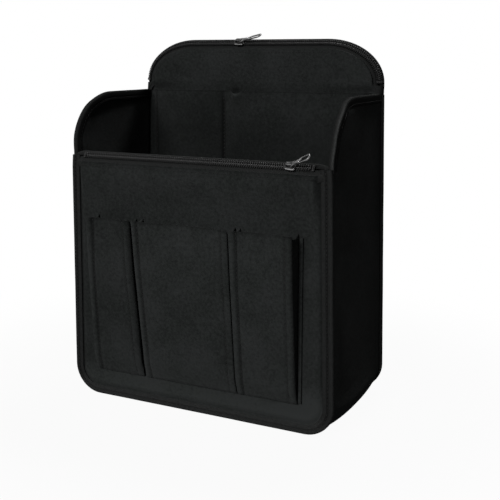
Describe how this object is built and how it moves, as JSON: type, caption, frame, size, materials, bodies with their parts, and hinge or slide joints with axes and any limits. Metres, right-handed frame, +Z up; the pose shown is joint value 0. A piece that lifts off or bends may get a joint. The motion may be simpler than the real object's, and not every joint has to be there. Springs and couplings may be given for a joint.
{
  "type": "backpack organizer insert",
  "caption": "Upright open-topped felt organizer insert for a backpack, with zipped front and back walls, front pouches and an inner pocket.",
  "frame": {"origin": "middle of the underside, on the plane that the bound edges stand on", "axes": "+X to the viewer's right as the front pockets face the viewer, +Y to the tall back wall, +Z up"},
  "size_m": [0.24, 0.136, 0.3055],
  "materials": {
    "felt": "matte black felt",
    "binding_tape": "black woven tape",
    "zip_tape": "black woven tape",
    "zip_teeth": "black nylon coil",
    "zip_metal": "dark nickel plating"
  },
  "bodies": {
    "organizer": {"front_outer_panel": "felt", "front_inner_panel": "felt", "left_front_pocket": "felt", "centre_front_pocket": "felt", "right_front_pocket": "felt", "back_outer_panel": "felt", "back_inner_panel": "felt", "inner_back_pocket": "felt", "left_side_panel": "felt", "right_side_panel": "felt", "bottom_panel": "felt", "front_binding": "binding_tape", "back_binding": "binding_tape", "left_side_binding": "binding_tape", "right_side_binding": "binding_tape", "front_zip_upper_tape": "zip_tape", "front_zip_lower_tape": "zip_tape", "back_zip_outer_tape": "zip_tape", "back_zip_inner_tape": "zip_tape", "front_zip_upper_teeth": "zip_teeth", "front_zip_lower_teeth": "zip_teeth", "back_zip_outer_teeth": "zip_teeth", "back_zip_inner_teeth": "zip_teeth", "front_zip_left_stop": "zip_metal", "front_zip_right_stop": "zip_metal", "back_zip_left_stop": "zip_metal", "back_zip_right_stop": "zip_metal"},
    "front_zip_slider": {"front_zip_slider": "zip_metal"},
    "front_zip_pull": {"front_zip_pull": "zip_metal"},
    "back_zip_slider": {"back_zip_slider": "zip_metal"},
    "back_zip_pull": {"back_zip_pull": "zip_metal"}
  },
  "joints": [
    {"name": "front_zip_slide", "type": "slide", "parent": "organizer", "child": "front_zip_slider", "axis": [1, 0, 0], "range_m": [-0.1775, 0.0115]},
    {"name": "front_zip_pull_swing", "type": "hinge", "parent": "front_zip_slider", "child": "front_zip_pull", "pos_m": [0.083, -0.05358, 0.20842], "axis": [0, -0.5736, -0.8192], "range_deg": [-36, 144]},
    {"name": "back_zip_slide", "type": "slide", "parent": "organizer", "child": "back_zip_slider", "axis": [1, 0, 0], "range_m": [-0.0415, 0.0755]},
    {"name": "back_zip_pull_swing", "type": "hinge", "parent": "back_zip_slider", "child": "back_zip_pull", "pos_m": [-0.017, 0.05992, 0.29842], "axis": [0, -0.5736, -0.8192], "range_deg": [-18, 162]}
  ]
}
